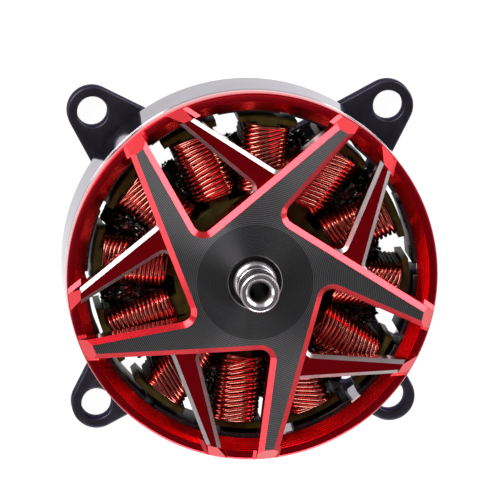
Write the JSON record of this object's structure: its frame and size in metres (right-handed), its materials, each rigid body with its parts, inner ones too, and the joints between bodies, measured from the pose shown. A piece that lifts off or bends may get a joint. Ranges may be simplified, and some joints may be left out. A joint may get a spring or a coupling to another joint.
{
  "type": "brushless outrunner motor",
  "caption": "Brushless outrunner motor with a red five-armed bell, a black turned star face, a hollow output shaft and a black four-lug base.",
  "frame": {"origin": "centre of the four lug holes on the mounting face", "axes": "+Z along the shaft towards its output end; the lugs lie on the diagonals between X and Y"},
  "size_m": [0.0384, 0.0384, 0.025],
  "materials": {
    "red_anodised": "red anodised, turned and milled",
    "plated_steel": "nickel plated, turned",
    "magnet": "dark plated neodymium",
    "ground_steel": "ground and polished",
    "bearing_steel": "polished",
    "cage_brass": "pressed",
    "spring_steel": "oiled",
    "coated_core": "dark olive epoxy powder coat over laminations",
    "copper_wire": "enamelled copper wire with clear varnish",
    "black_anodised": "black anodised, satin"
  },
  "bodies": {
    "stator": {"base": "black_anodised", "stator_core": "coated_core", "coil_1": "copper_wire", "coil_2": "copper_wire", "coil_3": "copper_wire", "coil_4": "copper_wire", "coil_5": "copper_wire", "coil_6": "copper_wire", "coil_7": "copper_wire", "coil_8": "copper_wire", "coil_9": "copper_wire", "coil_10": "copper_wire", "coil_11": "copper_wire", "coil_12": "copper_wire", "front_bearing_outer_ring": "bearing_steel", "front_bearing_shields": "spring_steel", "rear_bearing_outer_ring": "bearing_steel", "rear_bearing_shields": "spring_steel"},
    "rotor": {"bell": "red_anodised", "flux_ring": "plated_steel", "magnet_1": "magnet", "magnet_2": "magnet", "magnet_3": "magnet", "magnet_4": "magnet", "magnet_5": "magnet", "magnet_6": "magnet", "magnet_7": "magnet", "magnet_8": "magnet", "magnet_9": "magnet", "magnet_10": "magnet", "magnet_11": "magnet", "magnet_12": "magnet", "magnet_13": "magnet", "magnet_14": "magnet", "shaft": "ground_steel", "thrust_washer": "spring_steel", "retaining_clip": "spring_steel", "front_bearing_inner_ring": "bearing_steel", "rear_bearing_inner_ring": "bearing_steel"},
    "front_ball_set": {"front_bearing_balls": "bearing_steel", "front_bearing_cage": "cage_brass"},
    "rear_ball_set": {"rear_bearing_balls": "bearing_steel", "rear_bearing_cage": "cage_brass"}
  },
  "joints": [
    {"name": "rotor_spin", "type": "hinge", "parent": "stator", "child": "rotor", "pos_m": [0, 0, 0], "axis": [0, 0, 1], "continuous": true},
    {"name": "front_balls_spin", "type": "hinge", "parent": "stator", "child": "front_ball_set", "pos_m": [0, 0, 0], "axis": [0, 0, 1], "continuous": true},
    {"name": "rear_balls_spin", "type": "hinge", "parent": "stator", "child": "rear_ball_set", "pos_m": [0, 0, 0], "axis": [0, 0, 1], "continuous": true}
  ],
  "couplings": [
    {"joint": "front_balls_spin", "follows": "rotor_spin", "ratio": 0.378},
    {"joint": "rear_balls_spin", "follows": "rotor_spin", "ratio": 0.378}
  ]
}
